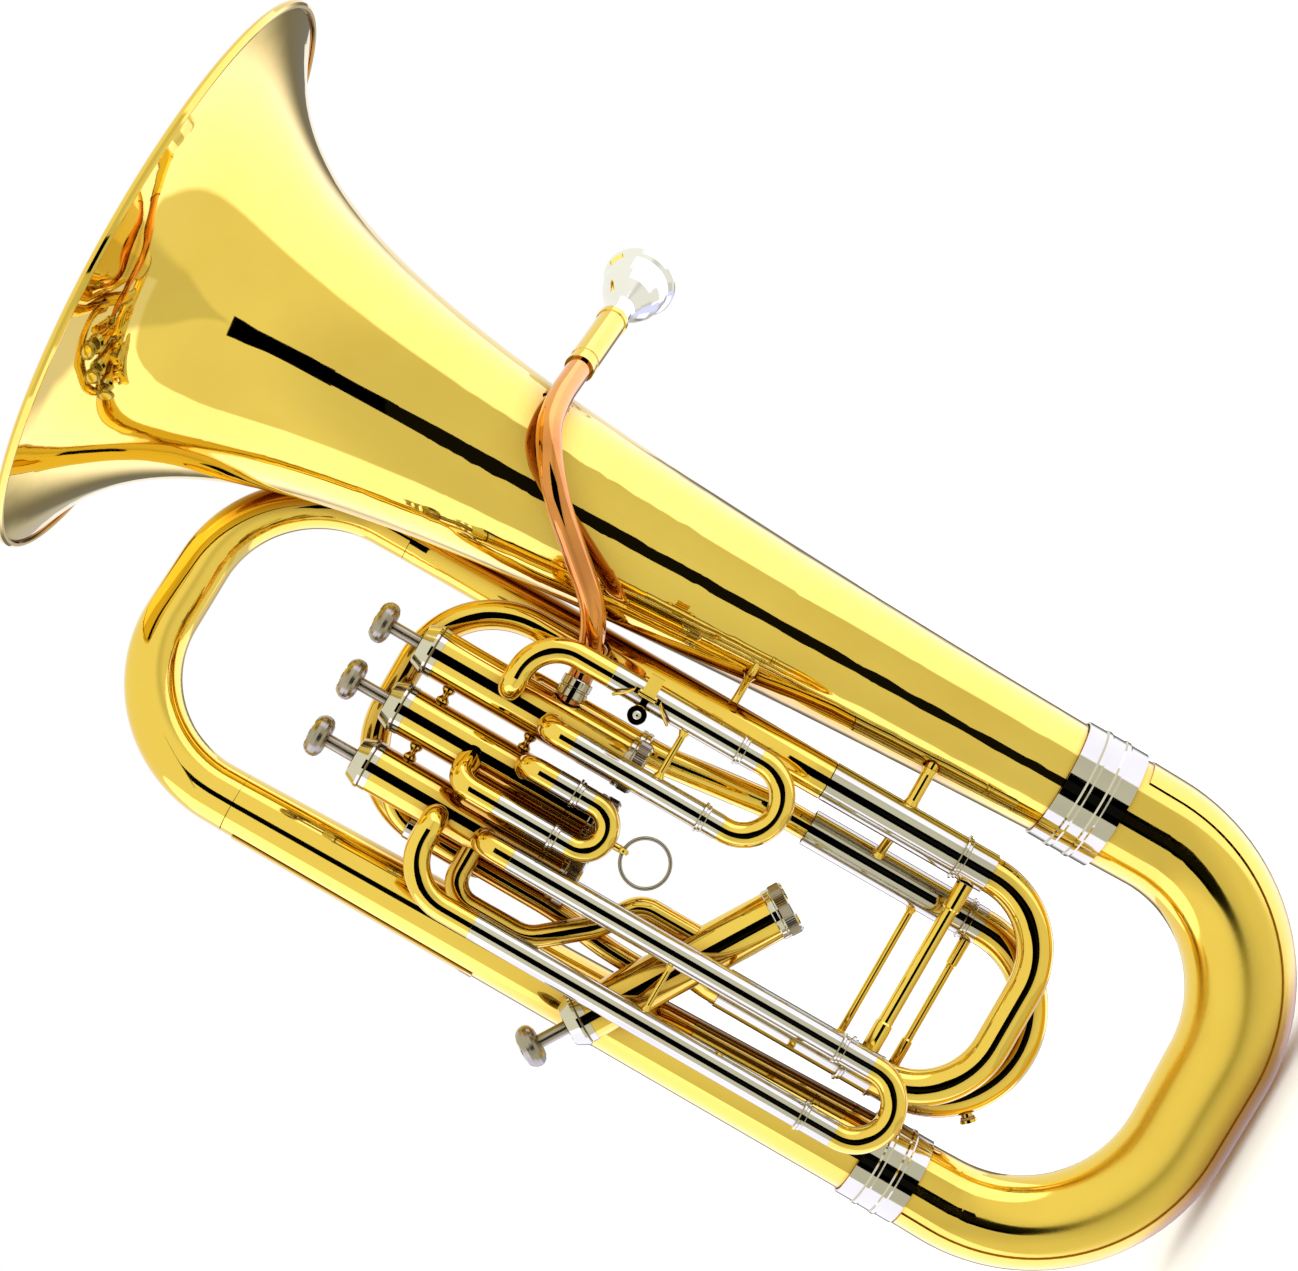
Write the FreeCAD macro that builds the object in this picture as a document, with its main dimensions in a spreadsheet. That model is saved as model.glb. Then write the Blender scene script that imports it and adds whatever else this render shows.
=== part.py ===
import FreeCAD, Part
import math
import os
import Sketcher
from FreeCAD import Placement, Rotation, Vector

# A compensating euphonium, bell up. X runs from the small side to the bell, the valves and the
# player's side face -Y, and the origin is on the bell's axis under the bottom bow, where it rests
# in the lap. Millimetres.

DOC = FreeCAD.newDocument("euphonium")
SHEET = DOC.addObject("Spreadsheet::Sheet", "Sizes")

SIZES = {
    # bell and conical branches
    "wall": 0.8,
    "bell_foot_level": 152.0,
    "bell_mouth_level": 680.5,
    "bell_mouth_radius": 151.0,
    "bell_flare_power": 0.55,
    "bell_flare_offset": 29.2,
    "bell_lean": 0.87,
    "bow_level": 26.0,
    "bow_corner": 87.0,
    "bow_small_radius": 21.3,
    "bow_large_radius": 30.2,
    "bow_leg_top": 146.0,
    "bow_short_leg_top": 145.0,
    "bow_guard_gap": 16.0,
    "branch_foot_level": 145.5,
    "outer_branch_x": -212.0,
    "outer_branch_top_x": -216.7,
    "outer_branch_top": 517.0,
    "outer_branch_top_radius": 15.8,
    "branch_guard_low": 372.0,
    "branch_guard_high": 510.0,
    "top_bow_level": 594.0,
    "top_bow_corner": 67.0,
    "top_bow_right_x": -59.0,
    "top_bow_right_y": 47.0,
    "top_bow_right_level": 510.0,
    "top_bow_end_radius": 11.7,
    "descending_x": -58.8,
    "descending_foot": 268.0,
    "descending_foot_radius": 10.4,
    "sleeve_clearance": 0.05,
    # valve unit, measured along its own axis from the bottom cap's face
    "valve_y": -33.0,
    "valve_base": 350.0,
    "valve_pitch": 31.9,
    "valve_1_x": -100.2,
    "valve_4_x": -120.3,
    "valve_4_base": 253.3,
    "valve_4_slope": 31.7,
    "casing_radius": 12.5,
    "casing_bore": 11.55,
    "casing_low": 3.0,
    "casing_top": 113.5,
    "piston_radius": 11.5,
    "piston_low": 48.0,
    "piston_top": 105.6,
    "stem_radius": 3.4,
    "button_low": 140.6,
    "button_radius": 10.8,
    "button_height": 9.1,
    "cap_top": 125.0,
    "bottom_cap_radius": 13.3,
    "bottom_cap_height": 11.0,
    "spring_radius": 9.2,
    "spring_wire_radius": 0.55,
    "spring_pitch": 8.0,
    # slides
    "slide_y": -56.0,
    "slide_wall": 0.6,
    "crook_wall": 0.8,
    "slide_1_span": 18.8,
    "slide_2_span": 11.8,
    "slide_3_span": 18.65,
    "main_span": 57.25,
    "main_corner": 41.5,
    "main_y": -20.0,
    "fourth_span": 45.9,
    "fourth_y": 5.0,
    # mouth end
    "leadpipe_radius": 6.3,
    "receiver_azimuth": 38.0,
    "receiver_length": 54.0,
    "mouthpiece_insert": 25.0,
    "ring_radius": 12.2,
    "ring_wire_radius": 0.95,
}


def fill_sheet():
    for row, (name, size) in enumerate(SIZES.items(), start=1):
        SHEET.set("A%d" % row, name)
        SHEET.set("B%d" % row, str(size))
        SHEET.setAlias("B%d" % row, name)
    DOC.recompute()


fill_sheet()


def size(name):
    return float(getattr(SHEET, name))


def value(expression):
    """The number that an expression over the sheet gives."""
    if isinstance(expression, (int, float)):
        return float(expression)
    return float(SHEET.evalExpression(expression))


def bound(expression):
    """The same expression as another object writes it, with each alias taken from the sheet."""
    text = str(expression)
    for name in sorted(SIZES, key=len, reverse=True):
        text = text.replace(name, "Sizes." + name) if "Sizes." + name not in text else text
    return text


# ---------------------------------------------------------------- sketches and bodies

def origin_plane(body, role):
    return [item for item in body.Origin.OriginFeatures if item.Role == role][0]


def sketch_on(body, role, name):
    sketch = body.newObject("Sketcher::SketchObject", name)
    sketch.AttachmentSupport = [(origin_plane(body, role), "")]
    sketch.MapMode = "FlatFace"
    return sketch


def hold_point(sketch, item, end, across, up):
    """Ties one end of a sketch line to two expressions, counted from the sketch's origin."""
    for kind, axis, expression in (("DistanceX", -2, across), ("DistanceY", -1, up)):
        if value(expression) == 0:
            sketch.addConstraint(Sketcher.Constraint("PointOnObject", item, end, axis))
            continue
        index = sketch.addConstraint(Sketcher.Constraint(kind, -1, 1, item, end, value(expression)))
        sketch.setExpression("Constraints[%d]" % index, bound(expression))


def turned(label, section, placement=Placement()):
    """A turned piece: its half-section's corners (radius, height), revolved about its own Z."""
    body = DOC.addObject("PartDesign::Body", label)
    sketch = sketch_on(body, "XZ_Plane", label + "_section")
    corners = [Vector(value(r), value(z), 0) for r, z in section]
    count = len(corners)
    for item in range(count):
        sketch.addGeometry(Part.LineSegment(corners[item], corners[(item + 1) % count]))
    for item in range(count):
        sketch.addConstraint(Sketcher.Constraint("Coincident", item, 2, (item + 1) % count, 1))
    for item, (radius, height) in enumerate(section):
        hold_point(sketch, item, 1, radius, height)
    revolution = body.newObject("PartDesign::Revolution", label + "_turned")
    revolution.Profile = sketch
    revolution.ReferenceAxis = (sketch, ["V_Axis"])
    revolution.Angle = 360.0
    body.Placement = placement
    return body


def ring_section(inner, outer, low, high):
    return [(inner, low), (outer, low), (outer, high), (inner, high)]


def drill(body, label, holes, towards_front):
    """Cuts round ports (x, height, radius) through one side of a body's wall."""
    DOC.recompute()
    before = body.Shape.Volume
    sketch = sketch_on(body, "XZ_Plane", label + "_ports")
    for x, z, radius in holes:
        item = sketch.addGeometry(Part.Circle(Vector(x, z, 0), Vector(0, 0, 1), radius))
        sketch.addConstraint(Sketcher.Constraint("Radius", item, radius))
        hold_point(sketch, item, 3, x, z)
    pocket = body.newObject("PartDesign::Pocket", label + "_drilled")
    pocket.Profile = sketch
    pocket.Length = 2 * size("casing_radius")
    pocket.Reversed = towards_front
    DOC.recompute()
    if body.Shape.Volume >= before:
        raise RuntimeError(label + ": the ports cut nothing")
    return body


def u_bow(label, span, corner, radius, wall, leg, placement):
    """A constant-bore bow below two short legs: quarter bends of radius corner, with a flat between."""
    body = DOC.addObject("PartDesign::Body", label)
    half, bend = value(span), value(corner)
    flat = half - bend
    sketch = sketch_on(body, "XZ_Plane", label + "_route")
    normal = Vector(0, 0, 1)
    sketch.addGeometry(Part.LineSegment(Vector(-half, leg, 0), Vector(-half, 0, 0)))
    if flat < 0.01:
        arc = Part.ArcOfCircle(Part.Circle(Vector(), normal, half), math.pi, 2 * math.pi)
        sketch.addGeometry(arc)
        sketch.addConstraint(Sketcher.Constraint("Coincident", 1, 3, -1, 1))
    else:
        left = Part.Circle(Vector(-flat, 0, 0), normal, bend)
        right = Part.Circle(Vector(flat, 0, 0), normal, bend)
        sketch.addGeometry(Part.ArcOfCircle(left, math.pi, 1.5 * math.pi))
        sketch.addGeometry(Part.LineSegment(Vector(-flat, -bend, 0), Vector(flat, -bend, 0)))
        sketch.addGeometry(Part.ArcOfCircle(right, 1.5 * math.pi, 2 * math.pi))
        sketch.addConstraint(Sketcher.Constraint("PointOnObject", 1, 3, -1))
        sketch.addConstraint(Sketcher.Constraint("Tangent", 1, 2, 2, 1))
        sketch.addConstraint(Sketcher.Constraint("Tangent", 2, 2, 3, 1))
        sketch.addConstraint(Sketcher.Constraint("PointOnObject", 3, 3, -1))
        index = sketch.addConstraint(Sketcher.Constraint("DistanceX", 2, 1, 2, 2, 2 * flat))
        sketch.setExpression("Constraints[%d]" % index, "2 * (%s - %s)" % (bound(span), bound(corner)))
        sketch.addConstraint(Sketcher.Constraint("Symmetric", 2, 1, 2, 2, -2))
    last = sketch.addGeometry(Part.LineSegment(Vector(half, 0, 0), Vector(half, leg, 0)))
    sketch.addConstraint(Sketcher.Constraint("Tangent", 0, 2, 1, 1))
    sketch.addConstraint(Sketcher.Constraint("Tangent", last - 1, 2, last, 1))
    sketch.addConstraint(Sketcher.Constraint("Vertical", 0))
    sketch.addConstraint(Sketcher.Constraint("Vertical", last))
    index = sketch.addConstraint(Sketcher.Constraint("Radius", 1, bend))
    sketch.setExpression("Constraints[%d]" % index, bound(corner))
    sketch.addConstraint(Sketcher.Constraint("DistanceY", 0, 2, 0, 1, leg))
    sketch.addConstraint(Sketcher.Constraint("DistanceY", last, 1, last, 2, leg))
    profile = sketch_on(body, "XY_Plane", label + "_profile")
    profile.AttachmentOffset = Placement(Vector(0, 0, leg), Rotation())
    for r in (radius, radius - wall):
        item = profile.addGeometry(Part.Circle(Vector(-half, 0, 0), normal, r))
        profile.addConstraint(Sketcher.Constraint("Radius", item, r))
        profile.addConstraint(Sketcher.Constraint("PointOnObject", item, 3, -1))
        index = profile.addConstraint(Sketcher.Constraint("DistanceX", item, 3, -1, 1, half))
        profile.setExpression("Constraints[%d]" % index, bound(span))
    DOC.recompute()
    pipe = body.newObject("PartDesign::AdditivePipe", label + "_bent")
    pipe.Profile = profile
    pipe.Spine = (sketch, ["Edge%d" % (n + 1) for n in range(last + 1)])
    body.Placement = placement
    DOC.recompute()
    return body


# ---------------------------------------------------------------- bent and conical tubes

def bent_path(points, bends=None):
    """Straight runs joined by tangent arcs. A bend with no radius is as large as its runs allow."""
    edges = []
    start = points[0]
    for index in range(1, len(points) - 1):
        corner = points[index]
        back = points[index - 1] - corner
        ahead = points[index + 1] - corner
        shorter = min(back.Length, ahead.Length)
        back.normalize()
        ahead.normalize()
        half_turn = (math.pi - back.getAngle(ahead)) / 2
        radius = bends[index - 1] if bends else None
        if not radius:
            radius = 0.45 * shorter / math.tan(half_turn)
        reach = radius * math.tan(half_turn)
        inward = back + ahead
        inward.normalize()
        middle = corner + inward * (radius / math.cos(half_turn) - radius)
        edges.append(Part.LineSegment(start, corner + back * reach).toShape())
        edges.append(Part.Arc(corner + back * reach, middle, corner + ahead * reach).toShape())
        start = corner + ahead * reach
    edges.append(Part.LineSegment(start, points[-1]).toShape())
    return Part.Wire(edges)


def ring_wire(centre, direction, radius):
    return Part.Wire([Part.makeCircle(radius, centre, direction)])


def path_ends(path):
    """(place, direction) at the start and at the end of a path."""
    first, last = path.Edges[0], path.Edges[-1]
    return [(first.valueAt(first.FirstParameter), first.tangentAt(first.FirstParameter)),
            (last.valueAt(last.LastParameter), last.tangentAt(last.LastParameter))]


def swept(path, sections):
    shell = Part.BRepOffsetAPI.MakePipeShell(path)
    shell.setFrenetMode(False)
    for section in sections:
        shell.add(section, False, False)
    shell.build()
    shell.makeSolid()
    return shell.shape()


def tapered_solid(path, start_radius, end_radius):
    rings = [ring_wire(place, heading, radius)
             for (place, heading), radius in zip(path_ends(path), (start_radius, end_radius))]
    return swept(path, rings)


def tapered_tube(path, start_radius, end_radius, wall):
    outer = tapered_solid(path, start_radius, end_radius)
    return outer.cut(tapered_solid(path, start_radius - wall, end_radius - wall))


def even_tube(path, radius, wall=None):
    """A tube of one bore, or a solid rod if it has no wall: a cylinder for each straight run and a
    piece of a torus for each bend, joined end to end."""
    pieces = []
    for edge in path.Edges:
        if edge.Length < 0.01:
            continue
        start = edge.valueAt(edge.FirstParameter)
        heading = edge.tangentAt(edge.FirstParameter)
        rings = [ring_wire(start, heading, radius)]
        if wall:
            rings.append(ring_wire(start, heading, radius - wall))
        face = Part.makeFace(rings, "Part::FaceMakerBullseye")
        if isinstance(edge.Curve, Part.Circle):
            turn = math.degrees(edge.Length / edge.Curve.Radius)
            pieces.append(face.revolve(edge.Curve.Center, edge.Curve.Axis, turn))
        else:
            pieces.append(face.extrude(edge.valueAt(edge.LastParameter) - start))
    return pieces[0].fuse(pieces[1:]) if len(pieces) > 1 else pieces[0]


def feature(label, shape, placement=Placement()):
    """Holds a shape made by the functions above: its largest solid, without offcuts of a trim."""
    item = DOC.addObject("Part::Feature", label)
    if shape.ShapeType == "Compound":
        shape = max(shape.Solids, key=lambda solid: solid.Volume)
    item.Shape = shape
    item.Placement = placement
    return item


def group(label, members):
    """One node of several separate solids."""
    item = DOC.addObject("Part::Compound", label)
    item.Links = members
    return item


def vec(x, y, z):
    return Vector(float(x), float(y), float(z))


NODES = {}


def node(item):
    NODES[item.Label] = item
    return item


# ---------------------------------------------------------------- bell

def flare(depth):
    """The bell's outer radius at a depth below its mouth."""
    offset = size("bell_flare_offset")
    return size("bell_mouth_radius") * (offset / (depth + offset)) ** size("bell_flare_power")


def flare_slope(depth):
    return size("bell_flare_power") * flare(depth) / (depth + size("bell_flare_offset"))


def bell_shape():
    """The flare's curve and the same curve one wall inside it, turned about the bell's axis."""
    height = size("bell_mouth_level") - size("bell_foot_level")
    steps = 22
    outer, inner = [], []
    for step in range(steps + 1):
        depth = height * (1 - step / steps) ** 2
        radius = flare(depth)
        lean = math.atan(flare_slope(depth))
        outer.append(vec(radius, 0, height - depth))
        inside = vec(radius - size("wall") * math.cos(lean), 0,
                     height - depth + size("wall") * math.sin(lean))
        inner.append(inside)
    outside = Part.BSplineCurve()
    outside.interpolate(outer)
    inner[0] = vec(inner[0].x, 0, 0)
    within = Part.BSplineCurve()
    within.interpolate(inner)
    edges = [outside.toShape(), Part.LineSegment(outer[-1], inner[-1]).toShape(),
             within.toShape(), Part.LineSegment(inner[0], outer[0]).toShape()]
    face = Part.Face(Part.Wire(Part.__sortEdges__(edges)))
    return face.revolve(Vector(), Vector(0, 0, 1), 360)


BELL_LEAN = Rotation(Vector(0, 1, 0), -size("bell_lean"))
BELL_FOOT = Placement(vec(0, 0, size("bell_foot_level")), BELL_LEAN)
BELL_HEIGHT = size("bell_mouth_level") - size("bell_foot_level")
node(feature("bell", bell_shape(), BELL_FOOT))

# the rolled rim: a wire bead around the mouth, with a narrow flat on its top face
rim_low = "bell_mouth_level - bell_foot_level + 0.3"
node(turned("bell_rim_wire", [
    ("bell_mouth_radius + 0.3", rim_low + " - 1.6"),
    ("bell_mouth_radius + 1.8", rim_low + " - 1.7"),
    ("bell_mouth_radius + 3.0", rim_low + " - 0.6"),
    ("bell_mouth_radius + 3.4", rim_low + " + 0.9"),
    ("bell_mouth_radius + 2.8", rim_low + " + 2.3"),
    ("bell_mouth_radius + 1.6", rim_low + " + 3.1"),
    ("bell_mouth_radius - 1.0", rim_low + " + 3.1"),
    ("bell_mouth_radius - 2.0", rim_low + " + 2.2"),
    ("bell_mouth_radius - 2.4", rim_low + " + 1.0"),
    ("bell_mouth_radius + 0.3", rim_low + " + 1.0"),
], BELL_FOOT))

# ---------------------------------------------------------------- bottom bow and outer branch

def bow_path():
    left = size("outer_branch_x")
    return bent_path([
        vec(left, 0, size("bow_short_leg_top")), vec(left, 0, size("bow_level")),
        vec(0, 0, size("bow_level")), vec(0, 0, size("bow_leg_top")),
    ], [size("bow_corner"), size("bow_corner")])


node(feature("bottom_bow", tapered_tube(bow_path(), size("bow_small_radius"),
                                        size("bow_large_radius"), size("wall"))))


def guard_section(place, outward, across, radius, spread):
    """A strip's cross-section: a thin arc that hugs the outer side of a tube."""
    low, high = radius + 0.06, radius + 0.85

    def at(reach, angle):
        return place + outward * (reach * math.cos(angle)) + across * (reach * math.sin(angle))

    inner = Part.Arc(at(low, -spread), at(low, 0), at(low, spread)).toShape()
    outer = Part.Arc(at(high, -spread), at(high, 0), at(high, spread)).toShape()
    ends = [Part.LineSegment(at(low, sign * spread), at(high, sign * spread)).toShape() for sign in (-1, 1)]
    return Part.Wire(Part.__sortEdges__([inner, outer] + ends))


def guard_shape(path, start_radius, end_radius, spread, across=Vector(0, 1, 0)):
    sections = []
    for (place, heading), radius in zip(path_ends(path), (start_radius, end_radius)):
        outward = heading.cross(across)
        if outward.dot(place - path.CenterOfGravity) < 0:
            outward = outward * -1
        outward.normalize()
        sections.append(guard_section(place, outward, across, radius, spread))
    return swept(path, sections)


def bow_guard_shape():
    """The wear plate that hugs the outer side of the bottom bow."""
    total = bow_path().Length
    left = size("outer_branch_x")
    gap = size("bow_guard_gap")
    cut = bent_path([
        vec(left, 0, size("bow_short_leg_top") - gap), vec(left, 0, size("bow_level")),
        vec(0, 0, size("bow_level")), vec(0, 0, size("bow_leg_top") - gap),
    ], [size("bow_corner"), size("bow_corner")])
    growth = (size("bow_large_radius") - size("bow_small_radius")) / total
    start = size("bow_small_radius") + growth * gap
    end = size("bow_large_radius") - growth * gap
    return guard_shape(cut, start, end, math.radians(50))


bow_guard = feature("bow_guard", bow_guard_shape())


BRANCH_FOOT = vec(size("outer_branch_x"), 0, size("branch_foot_level"))
BRANCH_RUN = vec(size("outer_branch_top_x"), 0, size("outer_branch_top")) - BRANCH_FOOT


def branch_shape():
    start, run = BRANCH_FOOT, BRANCH_RUN
    outer = Part.makeCone(size("bow_small_radius"), size("outer_branch_top_radius"), run.Length, start, run)
    inner = Part.makeCone(size("bow_small_radius") - size("wall"),
                          size("outer_branch_top_radius") - size("wall"), run.Length, start, run)
    return outer.cut(inner)


node(feature("outer_branch", branch_shape()))


def ferrule(label, radius, height, base, lean=Rotation()):
    """A nickel sleeve over a joint, with two raised beads."""
    r = radius + 0.05
    section = [
        (r, 0), (r + 1.3, 0), (r + 1.3, height * 0.28), (r + 2.0, height * 0.31),
        (r + 2.0, height * 0.37), (r + 1.5, height * 0.40), (r + 1.5, height * 0.60),
        (r + 2.0, height * 0.63), (r + 2.0, height * 0.69), (r + 1.3, height * 0.72),
        (r + 1.3, height), (r, height)]
    return turned(label, section, Placement(base, lean))


ferrules = [
    ferrule("bell_ferrule", size("bow_large_radius") + 0.55, 33.0, vec(0, 0, 134.5)),
    ferrule("branch_ferrule", size("bow_small_radius") + 0.4, 31.0, vec(size("outer_branch_x"), 0, 130.0)),
]

# ---------------------------------------------------------------- top bow and descending branch

TOP_LEFT = vec(size("outer_branch_top_x"), 0, size("outer_branch_top") + 0.3)
TOP_RIGHT = vec(size("top_bow_right_x"), size("top_bow_right_y"), size("top_bow_right_level"))


def top_bow_path():
    high = size("top_bow_level")
    corner = size("top_bow_corner")
    return bent_path([TOP_LEFT, vec(TOP_LEFT.x, TOP_LEFT.y, high),
                      vec(TOP_RIGHT.x, TOP_RIGHT.y, high), TOP_RIGHT], [corner, corner])


node(feature("top_bow", tapered_tube(top_bow_path(), size("outer_branch_top_radius"),
                                     size("top_bow_end_radius"), size("wall"))))


def descending_path():
    end = vec(size("descending_x"), size("main_y"), size("descending_foot"))
    return bent_path([TOP_RIGHT - vec(0, 0, 0.3), TOP_RIGHT - vec(0, 0, 16), end + vec(0, 0, 20), end],
                     [80.0, 90.0])


node(feature("descending_branch", tapered_tube(descending_path(), size("top_bow_end_radius"),
                                               size("descending_foot_radius"), size("wall"))))


def branch_guard_shape():
    """A narrow wear strip down the outer side of the branch."""
    growth = size("outer_branch_top_radius") - size("bow_small_radius")
    half_angle = math.radians(28)
    places, sections = [], []
    for level in (size("branch_guard_low"), size("branch_guard_high")):
        share = (level - size("branch_foot_level")) / BRANCH_RUN.z
        places.append(BRANCH_FOOT + BRANCH_RUN * share)
        radius = size("bow_small_radius") + growth * share
        sections.append(guard_section(places[-1], Vector(-1, 0, 0), Vector(0, 1, 0), radius, half_angle))
    return swept(Part.Wire([Part.LineSegment(*places).toShape()]), sections)


node(group("wear_guards", [bow_guard, feature("branch_guard", branch_guard_shape())]))

# ---------------------------------------------------------------- valves

VALVE_X = [size("valve_1_x") - size("valve_pitch") * k for k in range(3)]
PLACES = [Placement(vec(x, size("valve_y"), size("valve_base")), Rotation()) for x in VALVE_X]
tilt = Rotation(Vector(0, 1, 0), -(90 - size("valve_4_slope")))
PLACES.append(Placement(vec(size("valve_4_x"), size("valve_y"), size("valve_4_base")), tilt))

PORT = 5.4
FRONT_PORTS = [
    [(4.1, 75.4, PORT), (-1.7, 49.3, PORT)],
    [(-2.5, 75.3, PORT), (4.6, 49.3, PORT)],
    [(-5.0, 75.4, PORT), (-3.3, 49.3, PORT)],
    [(2.0, 62.0, PORT), (-2.0, 90.0, PORT)],
]


def casing(number):
    body = turned("valve_%d_casing" % number,
                  ring_section("casing_bore", "casing_radius", "casing_low", "casing_top"),
                  PLACES[number - 1])
    return drill(body, body.Label, FRONT_PORTS[number - 1], number != 4)


def top_cap(number):
    return turned("top_cap_%d" % number, [
        ("stem_radius + 0.35", "casing_top - 4.9"), ("casing_bore - 0.05", "casing_top - 4.9"),
        ("casing_bore - 0.05", "casing_top"), ("casing_radius + 0.3", "casing_top"),
        ("casing_radius + 0.3", "casing_top + 3.2"), ("casing_radius - 0.2", "casing_top + 3.6"),
        ("casing_radius + 0.8", "casing_top + 4.2"), ("casing_radius + 0.8", "casing_top + 5.4"),
        ("casing_radius - 2.1", "cap_top - 0.4"), ("casing_radius - 2.6", "cap_top"),
        ("stem_radius + 0.35", "cap_top")], PLACES[number - 1])


def bottom_cap(number):
    return turned("bottom_cap_%d" % number, [
        (1.6, 0), ("bottom_cap_radius - 1.0", 0), ("bottom_cap_radius", 1.0),
        ("bottom_cap_radius", "bottom_cap_height - 3.4"),
        ("bottom_cap_radius - 0.3", "bottom_cap_height - 3.0"),
        ("bottom_cap_radius", "bottom_cap_height - 2.6"), ("bottom_cap_radius", "bottom_cap_height - 0.5"),
        ("bottom_cap_radius - 0.3", "bottom_cap_height"),
        ("casing_radius + 0.05", "bottom_cap_height"), ("casing_radius + 0.05", "casing_low - 0.05"),
        ("casing_bore - 0.6", "casing_low - 0.05"), ("casing_bore - 0.6", 2.0), (1.6, 2.0)],
        PLACES[number - 1])


def felt(number):
    return turned("felt_%d" % number, ring_section(4.2, 7.8, "casing_top - 7.6", "casing_top - 4.95"),
                  PLACES[number - 1])


def piston(number):
    body = turned("valve_%d_piston" % number, [
        (3.0, "piston_low"), ("piston_radius", "piston_low"), ("piston_radius", "piston_top"),
        (2.0, "piston_top"), (2.0, "piston_top - 2.5"), ("piston_radius - 0.9", "piston_top - 2.5"),
        ("piston_radius - 0.9", "piston_low + 2"), (3.0, "piston_low + 2")], PLACES[number - 1])
    holes = [(x, z, r) for x, z, r in FRONT_PORTS[number - 1] if z - r > size("piston_low") + 2]
    return drill(body, body.Label, holes, number != 4)


def stem(number):
    return turned("valve_%d_stem" % number, [
        (0, "piston_top - 2.4"), (1.9, "piston_top - 2.4"), (1.9, "piston_top + 0.02"),
        ("stem_radius", "piston_top + 0.02"), ("stem_radius", "button_low - 0.02"),
        (1.6, "button_low - 0.02"),
        (1.6, "button_low + 3"), (0, "button_low + 3")], PLACES[number - 1])


def button(number):
    """A domed finger button with a rounded rim and a shallow well for its pearl."""
    edge = "button_radius"
    body = turned("valve_%d_button" % number, [
        (1.65, "button_low"), (edge + " - 3.6", "button_low"), (edge + " - 1.4", "button_low + 1.1"),
        (edge + " - 0.3", "button_low + 2.6"), (edge, "button_low + 4.4"),
        (edge + " - 0.3", "button_low + 6.3"), (edge + " - 1.3", "button_low + 7.9"),
        (edge + " - 2.6", "button_low + button_height"),
        (edge + " - 3.2", "button_low + button_height - 0.3"),
        (0, "button_low + button_height - 0.3"), (0, "button_low + 3.05"), (1.65, "button_low + 3.05")],
        PLACES[number - 1])
    return body


def spring(number):
    low = 2.05 + size("spring_wire_radius")
    high = size("piston_low") - 0.25 - size("spring_wire_radius")
    helix = Part.makeHelix(size("spring_pitch"), high - low, size("spring_radius"))
    wire = Part.Wire(helix.Edges)
    ring = ring_wire(vec(size("spring_radius"), 0, 0), vec(0, 1, 0), size("spring_wire_radius"))
    coil = wire.makePipeShell([ring], True, True)
    seat = Placement(vec(0, 0, low), Rotation())
    return feature("valve_%d_spring" % number, coil, PLACES[number - 1].multiply(seat))


for k in range(1, 5):
    node(casing(k))
    node(piston(k))
    node(stem(k))
    node(button(k))
    node(spring(k))
node(group("valve_top_caps", [top_cap(k) for k in range(1, 5)]))
node(group("valve_bottom_caps", [bottom_cap(k) for k in range(1, 5)]))
node(group("cap_felts", [felt(k) for k in range(1, 5)]))


def casing_block(number, extra=0.05):
    """The space a casing fills, for trimming a tube to its wall."""
    block = Part.makeCylinder(size("casing_radius") + extra, 122.0)
    block.Placement = PLACES[number - 1]
    return block


# ---------------------------------------------------------------- slides

def leg_tubes(label, legs, y, radius, low, tops, bead):
    """Fixed outer sleeves: a plain tube on each leg with a bead round its lower end."""
    members = []
    for index, (x, top) in enumerate(zip(legs, tops)):
        length = top - low
        inner = radius - size("slide_wall")
        section = [(inner, 0), (radius + bead, 0), (radius + bead, 1.1), (radius, 1.6), (radius, length),
                   (inner, length)]
        members.append(turned("%s_%d" % (label, index + 1), section, Placement(vec(x, y, low), Rotation())))
    return members


def inner_legs(label, legs, y, radius, low, seat, lengths):
    """Moving legs: a tube that runs up inside the sleeve, above a thicker ferrule that stops it."""
    members = []
    fit = radius - size("slide_wall") - size("sleeve_clearance")
    for index, (x, reach) in enumerate(zip(legs, lengths)):
        rise = seat - low
        section = [(fit - 0.5, 0), (radius, 0), (radius, rise - 2.2), (radius + 0.6, rise - 1.7),
                   (radius + 0.6, rise - 0.3), (fit, rise - 0.3), (fit, rise + reach),
                   (fit - 0.5, rise + reach)]
        members.append(turned("%s_%d" % (label, index + 1), section, Placement(vec(x, y, low), Rotation())))
    return node(group(label, members))


SLIDES = {
    1: {"centre": -85.3, "span": "slide_1_span", "radius": 6.5, "arc": 301.9, "ring": 314.0,
        "tops": (385.3, 385.3), "reach": (66.0, 66.0)},
    2: {"centre": -136.2, "span": "slide_2_span", "radius": 6.3, "arc": 361.7, "ring": 371.8,
        "tops": (403.1, 383.9), "reach": (26.0, 11.5)},
    3: {"centre": -185.95, "span": "slide_3_span", "radius": 6.75, "arc": 181.4, "ring": 200.7,
        "tops": (383.9, 383.9), "reach": (158.0, 158.0)},
}


def slide_legs(number):
    data = SLIDES[number]
    return (data["centre"] - size(data["span"]), data["centre"] + size(data["span"]))


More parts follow.
